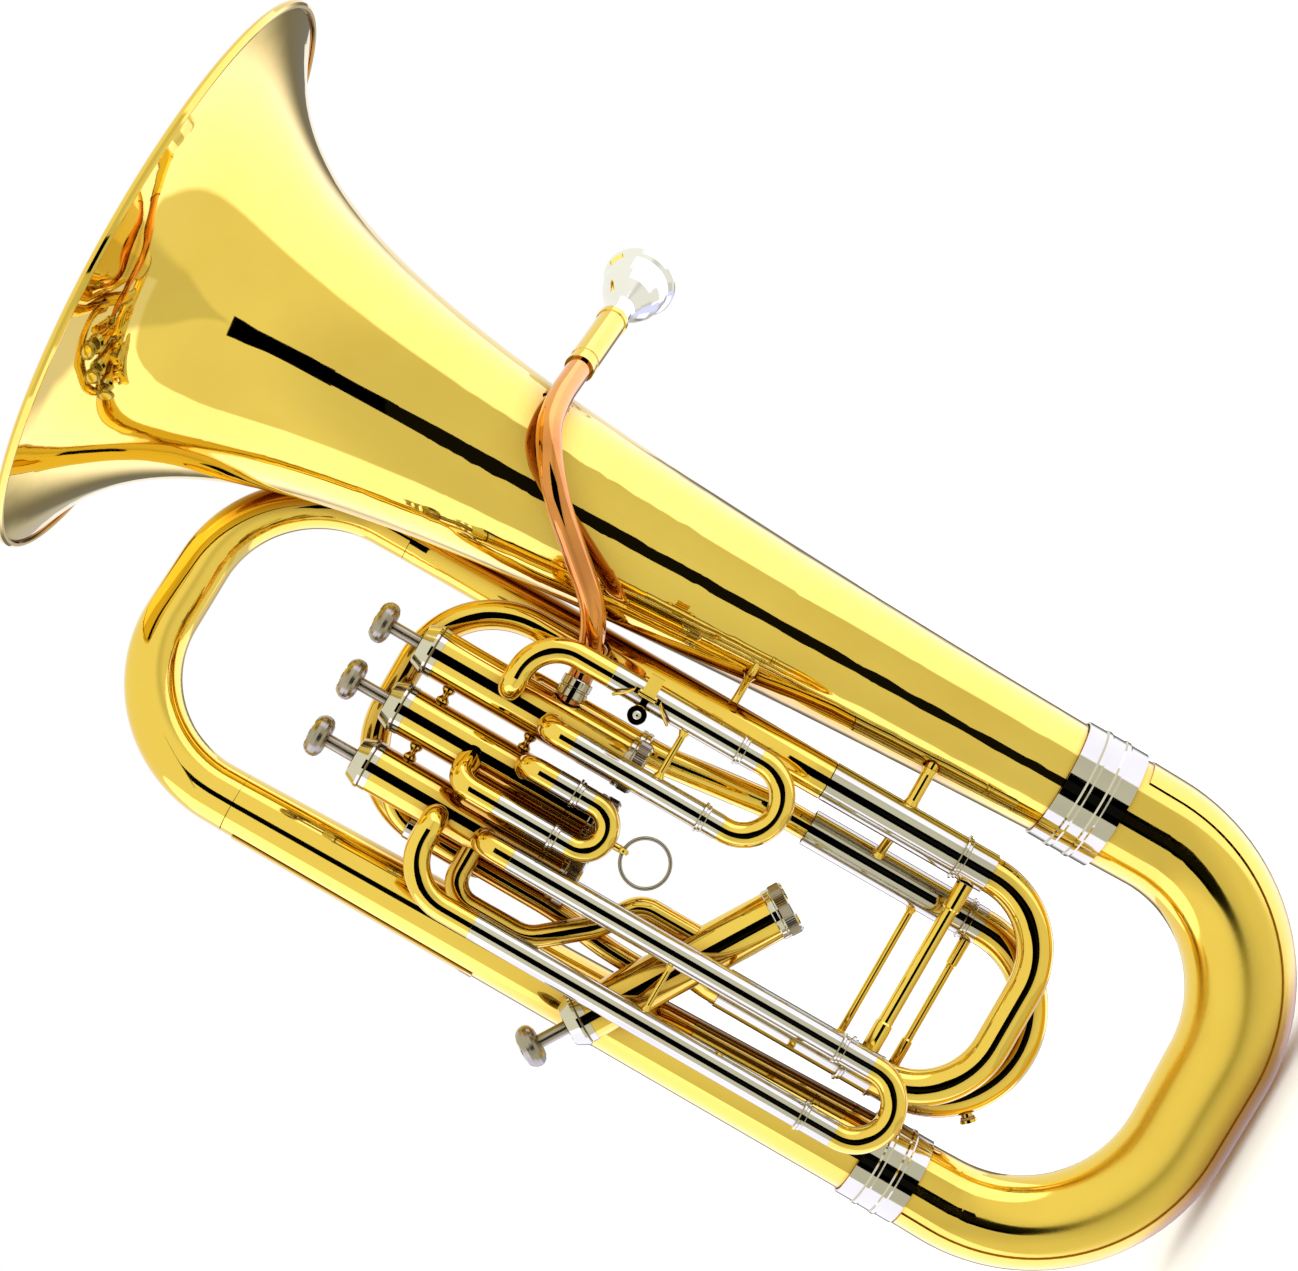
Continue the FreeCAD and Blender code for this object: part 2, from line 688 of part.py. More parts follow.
sleeves = []
for k, data in SLIDES.items():
    sleeves += leg_tubes("slide_%d_sleeve" % k, slide_legs(k), size("slide_y"), data["radius"], data["ring"],
                         data["tops"], 1.3)
    inner_legs("slide_%d_inner_legs" % k, slide_legs(k), size("slide_y"), data["radius"], data["arc"] + 2.0,
               data["ring"], data["reach"])
    bow = u_bow("slide_%d_bow" % k, data["span"], data["span"], data["radius"] - 0.1, 0.8, 1.95,
                Placement(vec(data["centre"], size("slide_y"), data["arc"]), Rotation()))
    node(bow)
MAIN = {"centre": -116.05, "radius": 10.4, "arc": 173.7, "ring": 192.0, "top": 267.5}
FOURTH = {"centre": -130.0, "radius": 9.75, "arc": 161.3, "ring": 171.3, "top": 262.6}
main_legs = (MAIN["centre"] - size("main_span"), MAIN["centre"] + size("main_span"))
fourth_legs = (FOURTH["centre"] - size("fourth_span"), FOURTH["centre"] + size("fourth_span"))
sleeves += leg_tubes("main_slide_sleeve", main_legs, size("main_y"), MAIN["radius"], MAIN["ring"],
                     (262.0, MAIN["top"]), 1.7)
sleeves += leg_tubes("fourth_slide_sleeve", fourth_legs, size("fourth_y"), FOURTH["radius"], FOURTH["ring"],
                     (FOURTH["top"], FOURTH["top"]), 1.5)
node(group("slide_sleeves", sleeves))
inner_legs("main_slide_inner_legs", main_legs, size("main_y"), MAIN["radius"], MAIN["arc"] + 2.0,
           MAIN["ring"], (62.0, 62.0))
inner_legs("fourth_slide_inner_legs", fourth_legs, size("fourth_y"), FOURTH["radius"], FOURTH["arc"] + 2.0,
           FOURTH["ring"], (58.0, 58.0))
node(u_bow("main_slide_bow", "main_span", "main_corner", 9.3, 0.8, 1.95,
           Placement(vec(MAIN["centre"], size("main_y"), MAIN["arc"]), Rotation())))
node(u_bow("fourth_slide_bow", "fourth_span", "fourth_span", 9.5, 0.8, 1.95,
           Placement(vec(FOURTH["centre"], size("fourth_y"), FOURTH["arc"]), Rotation())))


def slide_brace(label, legs, y, level, rod, collar, gap):
    """A moving cross brace with a longer collar at each end."""
    left = vec(legs[0] + gap, y, level)
    right = vec(legs[1] - gap, y, level)
    length = right.x - left.x
    section = [(0, 0), (collar, 0), (collar, 14), (collar - 0.6, 15), (rod, 17), (rod, length - 17),
               (collar - 0.6, length - 15), (collar, length - 14), (collar, length), (0, length)]
    along_x = Rotation(Vector(0, 1, 0), 90)
    return node(turned(label, section, Placement(left, along_x)))


slide_brace("main_slide_brace", main_legs, size("main_y"), 183.6, 3.9, 4.6, MAIN["radius"] + 0.02)
slide_brace("fourth_slide_brace", fourth_legs, size("fourth_y"), 166.3, 2.2, 3.0, FOURTH["radius"] + 0.02)

# ---------------------------------------------------------------- crooks and connecting tubes

def trimmed(shape, valves):
    for number in valves:
        shape = shape.cut(casing_block(number))
    return shape


def crook(points, radius, bends=None, valves=()):
    return trimmed(even_tube(bent_path(points, bends), radius, size("crook_wall")), valves)


def valve_crooks(number, radius, outer_leg, outer_port, inner_leg, inner_port):
    """The two tubes between a valve's front ports and its slide: a long crook and a short knuckle."""
    data = SLIDES[number]
    x = VALVE_X[number - 1]
    legs = slide_legs(number)
    y = size("slide_y")
    base = size("valve_base")
    wall_y = size("valve_y") - 6.0
    top = data["tops"][outer_leg] + 0.1
    port_x, port_z = x + outer_port[0], base + outer_port[1]
    sideways = abs(legs[outer_leg] - port_x)
    if sideways > 20:
        wide_bend = min(25.0, sideways - 8.6)
        long_way = crook([vec(legs[outer_leg], y, top), vec(legs[outer_leg], y, port_z),
                          vec(port_x, y, port_z), vec(port_x, wall_y, port_z)],
                         radius, [wide_bend, 8.2], [number])
    else:
        long_way = crook([vec(legs[outer_leg], y, top), vec(legs[outer_leg], y, port_z),
                          vec(port_x, wall_y, port_z)], radius, [9.0], [number])
    top = data["tops"][inner_leg] + 0.1
    port_x, port_z = x + inner_port[0], base + inner_port[1]
    short_way = crook([vec(legs[inner_leg], y, top), vec(legs[inner_leg], y, port_z),
                       vec(port_x, wall_y, port_z)], radius, [8.2], [number])
    return [feature("slide_%d_crook" % number, long_way), feature("slide_%d_knuckle" % number, short_way)]


node(group("valve_crooks", valve_crooks(1, 6.4, 1, FRONT_PORTS[0][0], 0, FRONT_PORTS[0][1])
           + valve_crooks(2, 6.2, 0, FRONT_PORTS[1][0], 1, FRONT_PORTS[1][1])
           + valve_crooks(3, 6.6, 0, FRONT_PORTS[2][0], 1, FRONT_PORTS[2][1])))

ARCH_Y = -8.5
arch_left, arch_right = -181.8, -64.8
ARCH = [vec(-160.0, -27.0, 391.0), vec(-160.0, ARCH_Y, 391.0), vec(arch_left, ARCH_Y, 391.0),
        vec(arch_left, ARCH_Y, 475.6),
        vec(arch_right, ARCH_Y, 475.6), vec(arch_right, ARCH_Y, 398.0), vec(-60.5, 12.0, 398.0)]
branch_block = tapered_solid(descending_path(), size("top_bow_end_radius") + 0.05,
                             size("descending_foot_radius") + 0.05)
arch = crook(ARCH, 7.6, [9.0, 9.0, 46.0, 46.0, 9.0], [3])
node(feature("arch_tube", arch.cut(branch_block)))

LINK_UPPER = [vec(-168.0, -27.0, 455.0), vec(-181.0, -22.6, 441.0), vec(-181.0, -22.6, 350.0),
              vec(-185.0, -24.5, 322.0), vec(-185.0, -27.0, 296.0)]
LINK_LOWER = [vec(-172.0, -34.4, 402.6), vec(-199.4, -34.4, 402.6), vec(-199.4, -34.4, 358.0),
              vec(-177.0, -34.4, 331.0), vec(-157.0, -34.4, 317.0), vec(-157.0, -33.5, 272.0)]
node(group("valve_link_tubes", [
    feature("upper_link", crook(LINK_UPPER, 5.6, None, [3, 4])),
    feature("lower_link", crook(LINK_LOWER, 5.9, [13.0, 20.0, 40.0, 12.0], [3, 4])),
]))

FEED_X, FEED_RADIUS = -91.5, 7.4
node(group("slide_feed_tubes", [
    feature("main_feed", crook([vec(main_legs[0], size("main_y"), 262.1),
                                vec(main_legs[0], size("main_y"), 270.0),
                                vec(main_legs[0] + 4.0, size("valve_y") + 3.0, 292.0)], 9.6, None, [4])),
    feature("fourth_feed_left", crook([vec(fourth_legs[0], size("fourth_y"), FOURTH["top"] + 0.1),
                                       vec(fourth_legs[0], size("fourth_y"), 289.5),
                                       vec(fourth_legs[0], -30.0, 289.5)], 8.8, [12.0], [4])),
    feature("fourth_feed_right", crook([vec(fourth_legs[1], size("fourth_y"), FOURTH["top"] + 0.1),
                                        vec(fourth_legs[1], size("fourth_y"), 285.0),
                                        vec(FEED_X, -5.0, 345.0), vec(FEED_X, -5.0, 424.0),
                                        vec(-94.0, -30.0, 424.0)], FEED_RADIUS, [60.0, 60.0, 10.0], [1])),
]))

# ---------------------------------------------------------------- leadpipe, receiver, mouthpiece

azimuth = math.radians(size("receiver_azimuth"))
MOUTH_WAY = vec(math.sin(azimuth), math.cos(azimuth), 0)
RECEIVER_START = vec(56.0, -16.5, 476.0)
MOUTH_TURN = Rotation(Vector(0, 0, 1), MOUTH_WAY)

LEADPIPE = [vec(-99.0, -33.0, 398.4), vec(-66.0, -33.0, 399.0), vec(-43.0, -45.5, 409.0),
            vec(-9.0, -62.0, 448.5), vec(6.0, -63.0, 462.0), vec(21.0, -56.5, 472.0),
            RECEIVER_START - MOUTH_WAY * 30.0, RECEIVER_START - MOUTH_WAY * 0.1]
node(feature("leadpipe", crook(LEADPIPE, size("leadpipe_radius"), None, [1])))


def small_ferrule(label, radius, height, base, heading):
    """A short nickel sleeve on a tube, with a groove round its middle."""
    r = radius + 0.05
    section = [(r, 0), (r + 0.9, 0), (r + 1.3, 0.5), (r + 1.3, height * 0.42), (r + 0.8, height * 0.46),
               (r + 0.8, height * 0.54), (r + 1.3, height * 0.58), (r + 1.3, height - 0.5),
               (r + 0.9, height), (r, height)]
    return turned(label, section, Placement(base, Rotation(Vector(0, 0, 1), heading)))


ferrules += [
    small_ferrule("leadpipe_ferrule", size("leadpipe_radius") + 0.15, 10.0, vec(-86.8, -33.0, 398.62),
                  LEADPIPE[1] - LEADPIPE[0]),
    small_ferrule("feed_ferrule", FEED_RADIUS, 6.0, vec(FEED_X, -5.0, 352.5), vec(0, 0, 1)),
]
node(group("ferrules", ferrules))
node(turned("mouthpiece_receiver", [
    (5.7, 0), (7.6, 0), (7.6, 3.0), (7.1, 3.6), (7.1, 8.0), (7.5, 8.6),
    (7.5, "receiver_length - 5"), (8.1, "receiver_length - 4.4"), (8.1, "receiver_length - 0.6"),
    (7.6, "receiver_length"), (6.35, "receiver_length"), (5.7, "receiver_length - 30")],
    Placement(RECEIVER_START, MOUTH_TURN)))

insert = size("mouthpiece_insert")
MOUTH_BASE = RECEIVER_START + MOUTH_WAY * (size("receiver_length") - insert)
node(turned("mouthpiece", [
    (4.6, 0), (5.74, 0), (6.28, insert), (6.6, insert + 3), (6.6, insert + 9), (7.4, insert + 12),
    (9.5, insert + 16), (13.2, insert + 22), (15.6, insert + 28), (16.6, insert + 34), (17.0, insert + 38),
    (18.6, insert + 40), (19.3, insert + 41.6), (19.2, insert + 43.2), (17.6, insert + 44),
    (15.0, insert + 44), (13.4, insert + 43), (12.9, insert + 41), (12.6, insert + 36),
    (11.6, insert + 30), (9.0, insert + 24), (5.2, insert + 19), (3.4, insert + 16), (3.4, insert + 12)],
    Placement(MOUTH_BASE, MOUTH_TURN)))

# ---------------------------------------------------------------- braces

POST_LEVELS = (55.6, 101.5)


def casing_post(left, level):
    """A short flared post between two casings."""
    x0 = VALVE_X[left + 1] + size("casing_radius")
    length = VALVE_X[left] - size("casing_radius") - x0
    section = [(0, 0), (3.4, 0), (3.2, 1.2), (1.7, length / 2 - 0.5), (1.7, length / 2 + 0.5),
               (3.2, length - 1.2), (3.4, length), (0, length)]
    low_end = vec(x0, size("valve_y"), size("valve_base") + level)
    return turned("post_%d_%d" % (left + 1, level), section,
                  Placement(low_end, Rotation(Vector(0, 1, 0), 90)))


def bell_block():
    """The space inside the bell's outer surface."""
    cone = [vec(0, 0, 0), vec(flare(BELL_HEIGHT), 0, 0)]
    for depth in (480.0, 420.0, 360.0, 300.0, 240.0):
        cone.append(vec(flare(depth), 0, BELL_HEIGHT - depth))
    cone.append(vec(0, 0, BELL_HEIGHT - 240.0))
    block = Part.Face(Part.makePolygon(cone + cone[:1])).revolve(Vector(), Vector(0, 0, 1), 360)
    block.Placement = BELL_FOOT
    return block


def leg_block(x, y, radius):
    return Part.makeCylinder(radius + 0.01, 260.0, vec(x, y, 150.0), vec(0, 0, 1))


blocks = [bell_block(), branch_block]
blocks.append(Part.makeCone(size("bow_small_radius"), size("outer_branch_top_radius"), BRANCH_RUN.Length,
                            BRANCH_FOOT, BRANCH_RUN))
for number, data in SLIDES.items():
    blocks += [leg_block(x, size("slide_y"), data["radius"]) for x in slide_legs(number)]
blocks += [leg_block(x, size("main_y"), MAIN["radius"]) for x in main_legs]
blocks += [leg_block(x, size("fourth_y"), FOURTH["radius"]) for x in fourth_legs]

SLIDE_Y, MAIN_Y, FOURTH_Y = size("slide_y"), size("main_y"), size("fourth_y")
RODS = [
    (vec(slide_legs(1)[0], SLIDE_Y, 341.9), vec(slide_legs(1)[1], SLIDE_Y, 341.9), 1.7, 3.2),
    (vec(slide_legs(3)[0], SLIDE_Y, 291.3), vec(slide_legs(3)[1], SLIDE_Y, 291.3), 1.5, 2.8),
    (vec(main_legs[1], MAIN_Y, 226.5), vec(-20.0, -18.0, 226.5), 3.4, 4.4),
    (vec(-58.0, -14.0, 327.0), vec(-18.0, -29.0, 327.0), 2.1, 3.6),
    (vec(fourth_legs[0], FOURTH_Y, 197.4), vec(fourth_legs[1], FOURTH_Y, 197.4), 2.1, 3.4),
    (vec(fourth_legs[1], FOURTH_Y, 226.0), vec(main_legs[1], MAIN_Y, 226.0), 2.6, 4.0),
    (vec(slide_legs(3)[0], SLIDE_Y, 216.0), vec(-209.0, -10.0, 216.0), 2.0, 3.2),
    (vec(slide_legs(3)[1] + 1.0, SLIDE_Y, 247.0), vec(main_legs[0], MAIN_Y, 247.0), 2.2, 3.3),
]


def brace_shape(start, end, radius, flange):
    """A rod between two tubes, trimmed to their walls, with a flared foot on each."""
    run = end - start
    rod = Part.makeCylinder(radius, run.Length, start, run)
    clear = rod
    for block in blocks:
        clear = clear.cut(block)
    middle = max(clear.Solids, key=lambda solid: solid.Volume)
    run.normalize()
    along_run = [(vertex.Point - start).dot(run) for vertex in middle.Vertexes]
    low, high = min(along_run), max(along_run)
    feet = [Part.makeCone(flange, radius, 3.0, start + run * (low - 0.6), run),
            Part.makeCone(flange, radius, 3.0, start + run * (high + 0.6), run * -1)]
    whole = middle.fuse(feet)
    for block in blocks:
        whole = whole.cut(block)
    return whole


posts = [casing_post(left, level) for left in (0, 1) for level in POST_LEVELS]
rods = [feature("brace_%d" % (n + 1), brace_shape(*spec)) for n, spec in enumerate(RODS)]
fittings = posts + rods

# ---------------------------------------------------------------- pull ring and water keys

RING_X = SLIDES[2]["centre"] - 0.9
EYE_LEVEL = SLIDES[2]["arc"] - size("slide_2_span") - 6.25


def eyelet_shape():
    """A small post under the second slide's bow with a cross hole for the ring."""
    post = Part.makeCylinder(1.9, 5.6, vec(RING_X, size("slide_y"), EYE_LEVEL - 5.4), vec(0, 0, 1))
    ball = Part.makeSphere(2.9, vec(RING_X, size("slide_y"), EYE_LEVEL - 4.8))
    slab = Part.makeBox(2.4, 8, 8, vec(RING_X - 1.2, size("slide_y") - 4, EYE_LEVEL - 8.8))
    hole_start = vec(RING_X - 6, size("slide_y"), EYE_LEVEL - 4.8)
    hole = Part.makeCylinder(size("ring_wire_radius") + 0.35, 12, hole_start, vec(1, 0, 0))
    bow_tube = Part.makeCylinder(6.25, 12, vec(RING_X - 6, size("slide_y"), EYE_LEVEL + 6.25), vec(1, 0, 0))
    return post.fuse(ball.common(slab)).cut(hole).cut(bow_tube)


node(feature("pull_ring_eyelet", eyelet_shape()))
RING_TOP = EYE_LEVEL - 4.8
node(feature("pull_ring", Part.makeTorus(size("ring_radius"), size("ring_wire_radius"),
                                         vec(RING_X, size("slide_y"), RING_TOP - size("ring_radius")),
                                         vec(0, 1, 0))))


def along(shape_x, shape_y):
    """A turn that takes a piece's own X and Y to the two directions given."""
    return Rotation(shape_x, shape_y, shape_x.cross(shape_y), "XYZ")


HINGE_REACH = 3.6


def water_key(label, tube_radius, place):
    """A lever that turns on a pin beside a tube. In its own frame the pin lies along Z, the tube's axis
    passes through +Y, and the cork closes the vent on the tube's +X side."""
    reach = tube_radius + HINGE_REACH
    side = tube_radius + 2.7
    barrel = Part.makeCylinder(1.9, 9.0, vec(0, 0, -4.5), vec(0, 0, 1))
    bridge = Part.makeBox(side + 1.3, 1.3, 3.6, vec(0, -1.2, -1.8))
    arm = Part.makeBox(1.3, reach + 1.2, 3.6, vec(side, -1.2, -1.8))
    cup = Part.makeCylinder(4.4, 1.6, vec(side, reach, 0), vec(1, 0, 0))
    tab = Part.makeBox(12.0, 1.1, 7.0, vec(-12.0, -1.2, -3.5))
    tab.rotate(Vector(), Vector(0, 0, 1), 24)
    hole = Part.makeCylinder(0.85, 12, vec(0, 0, -6), vec(0, 0, 1))
    lever = barrel.fuse([bridge, arm, cup, tab]).cut(hole).removeSplitter()
    cork = Part.makeCylinder(3.7, 1.15, vec(side - 1.16, reach, 0), vec(1, 0, 0))
    node(feature(label + "_lever", lever, place))
    node(feature(label + "_cork", cork, place))


def key_saddle(label, tube_radius, place, tube):
    """The pin between two ears on the tube, and the vent's short nipple under the cork."""
    reach = tube_radius + HINGE_REACH
    pin = Part.makeCylinder(0.8, 14.4, vec(0, 0, -7.2), vec(0, 0, 1))
    ears = [Part.makeBox(3.0, reach - 2.0, 1.6, vec(-1.5, -1.5, z)) for z in (-6.8, 5.2)]
    nipple = Part.makeCylinder(3.1, 4.0, vec(tube_radius + 1.52, reach, 0), vec(-1, 0, 0))
    pieces = []
    for shape in (pin.fuse(ears), nipple):
        shape.Placement = place
        pieces.append(shape.cut(tube))
    return [feature(label + "_part", shape) for shape in pieces]


KEY_1_X = slide_legs(1)[1]
KEY_1_RADIUS = SLIDES[1]["radius"]
KEY_1 = Placement(vec(KEY_1_X, size("slide_y") - KEY_1_RADIUS - HINGE_REACH, 366.0),
                  along(vec(-1, 0, 0), vec(0, 1, 0)))
water_key("water_key_1", KEY_1_RADIUS, KEY_1)
key_1_tube = Part.makeCylinder(KEY_1_RADIUS + 0.02, 100, vec(KEY_1_X, size("slide_y"), 320.0), vec(0, 0, 1))
fittings += key_saddle("saddle_1", KEY_1_RADIUS, KEY_1, key_1_tube)
node(group("braces", fittings))

KEY_2_RADIUS = 9.5
diagonal = math.sqrt(0.5)
KEY_2 = Placement(vec(FOURTH["centre"] - size("fourth_span") * diagonal,
                      size("fourth_y") + KEY_2_RADIUS + HINGE_REACH,
                      FOURTH["arc"] - size("fourth_span") * diagonal),
                  along(vec(-diagonal, 0, -diagonal), vec(0, -1, 0)))
water_key("water_key_2", KEY_2_RADIUS, KEY_2)
fourth_ring = Part.makeTorus(size("fourth_span"), KEY_2_RADIUS + 0.02,
                             vec(FOURTH["centre"], size("fourth_y"), FOURTH["arc"]), vec(0, 1, 0))
node(group("water_key_2_saddle", key_saddle("saddle_2", KEY_2_RADIUS, KEY_2, fourth_ring)))


# ---------------------------------------------------------------- checks and files

def check(item):
    bad = [flag for flag in item.State if flag in ("Invalid", "Error")]
    if bad:
        raise RuntimeError("%s: %s" % (item.Label, bad))
    shape = getattr(item, "Shape", None)
    if item in NODES.values() and (shape is None or shape.isNull() or not shape.isValid()):
        raise RuntimeError(item.Label + ": no valid shape")


DOC.recompute()
for item in DOC.Objects:
    check(item)
os.makedirs("parts", exist_ok=True)
for label, item in NODES.items():
    item.Shape.exportStep("parts/%s.step" % label)
    print("%-26s %2d solids %10.1f mm3" % (label, len(item.Shape.Solids), item.Shape.Volume))
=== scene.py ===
import math
import bpy
import bmesh
from mathutils import Matrix, Vector


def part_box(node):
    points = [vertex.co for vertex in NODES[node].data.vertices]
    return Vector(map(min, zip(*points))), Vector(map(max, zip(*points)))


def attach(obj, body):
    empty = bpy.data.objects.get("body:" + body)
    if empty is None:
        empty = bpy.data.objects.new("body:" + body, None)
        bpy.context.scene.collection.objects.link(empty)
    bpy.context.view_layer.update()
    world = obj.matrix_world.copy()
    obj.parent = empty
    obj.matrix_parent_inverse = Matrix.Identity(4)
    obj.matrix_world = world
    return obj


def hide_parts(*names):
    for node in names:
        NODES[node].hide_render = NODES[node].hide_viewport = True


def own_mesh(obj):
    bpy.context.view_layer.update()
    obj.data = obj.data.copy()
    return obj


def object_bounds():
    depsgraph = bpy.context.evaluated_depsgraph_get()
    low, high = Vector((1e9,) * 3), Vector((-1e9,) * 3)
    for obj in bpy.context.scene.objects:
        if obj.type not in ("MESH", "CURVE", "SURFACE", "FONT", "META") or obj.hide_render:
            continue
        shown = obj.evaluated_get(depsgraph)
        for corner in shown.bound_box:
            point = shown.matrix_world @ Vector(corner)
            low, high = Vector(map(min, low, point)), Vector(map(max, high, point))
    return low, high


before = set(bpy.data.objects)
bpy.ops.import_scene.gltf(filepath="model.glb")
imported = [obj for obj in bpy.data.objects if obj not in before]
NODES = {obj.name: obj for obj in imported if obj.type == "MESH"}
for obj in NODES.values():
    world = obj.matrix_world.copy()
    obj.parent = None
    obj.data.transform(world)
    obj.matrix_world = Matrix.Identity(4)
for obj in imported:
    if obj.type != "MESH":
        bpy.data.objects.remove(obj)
CAD_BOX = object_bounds()
MM = 0.001
DEGREES = 180.0 / math.pi
UP = (0.0, 0.0, 1.0)


# ---------------------------------------------------------------- shader graph helpers

class Graph:
    """A node tree with short calls for the few kinds of node that are used here."""

    def __init__(self, tree):
        self.tree = tree
        self.tree.nodes.clear()

    def node(self, kind, **inputs):
        made = self.tree.nodes.new(kind)
        for name, given in inputs.items():
            self.feed(made.inputs[name.replace("_", " ")], given)
        return made

    def feed(self, socket, given):
        if isinstance(given, bpy.types.NodeSocket):
            self.tree.links.new(given, socket)
        else:
            socket.default_value = given

    def math(self, operation, first, second=0.0):
        made = self.tree.nodes.new("ShaderNodeMath")
        made.operation = operation
        self.feed(made.inputs[0], first)
        self.feed(made.inputs[1], second)
        return made.outputs[0]

    def ramp(self, value, low, high, start=0.0, end=1.0, easing="SMOOTHSTEP"):
        """value from low to high gives start to end."""
        made = self.tree.nodes.new("ShaderNodeMapRange")
        made.interpolation_type = easing
        for index, given in enumerate((value, low, high, start, end)):
            self.feed(made.inputs[index], given)
        return made.outputs[0]

    def mix(self, factor, first, second):
        """A colour between first and second."""
        made = self.tree.nodes.new("ShaderNodeMix")
        made.data_type = "RGBA"
        self.feed(made.inputs[0], factor)
        self.feed(made.inputs[6], first)
        self.feed(made.inputs[7], second)
        return made.outputs[2]

    def blend(self, factor, first, second):
        """A number between first and second."""
        made = self.tree.nodes.new("ShaderNodeMix")
        self.feed(made.inputs[0], factor)
        self.feed(made.inputs[2], first)
        self.feed(made.inputs[3], second)
        return made.outputs[0]

    def noise(self, place, scale, detail=3.0, roughness=0.5):
        return self.node("ShaderNodeTexNoise", Vector=place, Scale=scale, Detail=detail,
                         Roughness=roughness).outputs["Fac"]

    def place(self):
        """Where a point is on the object, in metres."""
        return self.tree.nodes.new("ShaderNodeTexCoord").outputs["Object"]

    def openness(self, reach, low, high):
        """0 where other surfaces crowd a point within reach, in metres, and 1 in the open."""
        # an ambient occlusion mask, which the metals use to paint shade into their colour
        made = self.node("ShaderNodeAmbientOcclusion", Distance=reach)
        made.samples = OPENNESS_SAMPLES
        return self.ramp(made.outputs["AO"], low, high)

    def output(self, shader, kind="ShaderNodeOutputMaterial"):
        """Ends the tree with its shader."""
        end = self.tree.nodes.new(kind)
        self.tree.links.new(shader.outputs[0], end.inputs["Surface"])


def new_material(name):
    material = bpy.data.materials.new(name)
    material.use_nodes = True
    return material, Graph(material.node_tree)


def rgb(red, green, blue):
    return (red, green, blue, 1.0)


# ---------------------------------------------------------------- materials

OPENNESS_SAMPLES = 6
# how far, in metres, the painted shade in corners and in recesses reaches
CORNER_REACH, RECESS_REACH = 0.004, 0.026
DRIFT_SCALE, SMEAR_SCALE, RIPPLE_SCALE, GRAIN_SCALE = 22.0, 60.0, 14.0, 900.0
RELIEF_STRENGTH, RELIEF_DEPTH = 0.10, 0.0002
COAT_ROUGHNESS = 0.02
WORN_TOP, WORN_FOOT = 0.085, 0.030


def metal(name, bright, deep, roughness, smear, coat=0.0, coat_ior=1.5, grain=0.0, recess_shade=None,
          streaks=0.18, worn=0.0):
    """A polished metal: its colour drifts a little, is darkened with painted shade in the corners, and it
    has faint smears and a very shallow unevenness. The recess colour is painted shade where other tubes
    crowd it, and worn is how much duller it is low down, where the horn is set on its bow."""
    material, graph = new_material(name)
    place = graph.place()
    drift = graph.ramp(graph.noise(place, DRIFT_SCALE, 4.0), 0.35, 0.7)
    hue = graph.mix(graph.math("MULTIPLY", drift, streaks), bright, deep)
    # painted shade: the colour goes to deep in corners where other surfaces are close
    hue = graph.mix(graph.openness(CORNER_REACH, 0.25, 0.85), deep, hue)
    # painted shade: the recess colour where other tubes crowd a point
    if recess_shade:
        hue = graph.mix(graph.openness(RECESS_REACH, 0.35, 0.92), recess_shade, hue)
    smears = graph.ramp(graph.noise(place, SMEAR_SCALE, 6.0, 0.65), 0.45, 0.75)
    finish = graph.blend(smears, roughness, roughness + smear)
    if worn:
        height = graph.node("ShaderNodeSeparateXYZ", Vector=place).outputs["Z"]
        finish = graph.math("ADD", finish, graph.ramp(height, WORN_FOOT, WORN_TOP, worn, 0.0))
    relief = graph.noise(place, RIPPLE_SCALE, 2.0)
    if grain:
        fine = graph.noise(place, GRAIN_SCALE, 2.0)
        relief = graph.math("ADD", relief, graph.math("MULTIPLY", fine, grain))
    bump = graph.node("ShaderNodeBump", Strength=RELIEF_STRENGTH, Distance=RELIEF_DEPTH, Height=relief)
    shader = graph.node("ShaderNodeBsdfPrincipled", Metallic=1.0, Roughness=finish)
    graph.feed(shader.inputs["Base Color"], hue)
    graph.feed(shader.inputs["Normal"], bump.outputs["Normal"])
    shader.inputs["Coat Weight"].default_value = coat
    shader.inputs["Coat Roughness"].default_value = COAT_ROUGHNESS
    shader.inputs["Coat IOR"].default_value = coat_ior
    graph.output(shader)
    return material


def soft(name, pale, dark, roughness, speck_scale, bump_depth, sheen=0.0):
    """Cork or felt: a rough, speckled, slightly uneven surface."""
    material, graph = new_material(name)
    place = graph.place()
    specks = graph.node("ShaderNodeTexVoronoi", Vector=place, Scale=speck_scale)
    cloud = graph.noise(place, speck_scale * 0.6, 5.0, 0.7)
    spots = graph.ramp(graph.math("ADD", specks.outputs["Distance"], cloud), 0.55, 1.2)
    bump = graph.node("ShaderNodeBump", Strength=0.7, Distance=bump_depth, Height=cloud)
    shader = graph.node("ShaderNodeBsdfPrincipled", Roughness=roughness)
    graph.feed(shader.inputs["Base Color"], graph.mix(spots, dark, pale))
    graph.feed(shader.inputs["Normal"], bump.outputs["Normal"])
    shader.inputs["Sheen Weight"].default_value = sheen
    graph.output(shader)
    return material


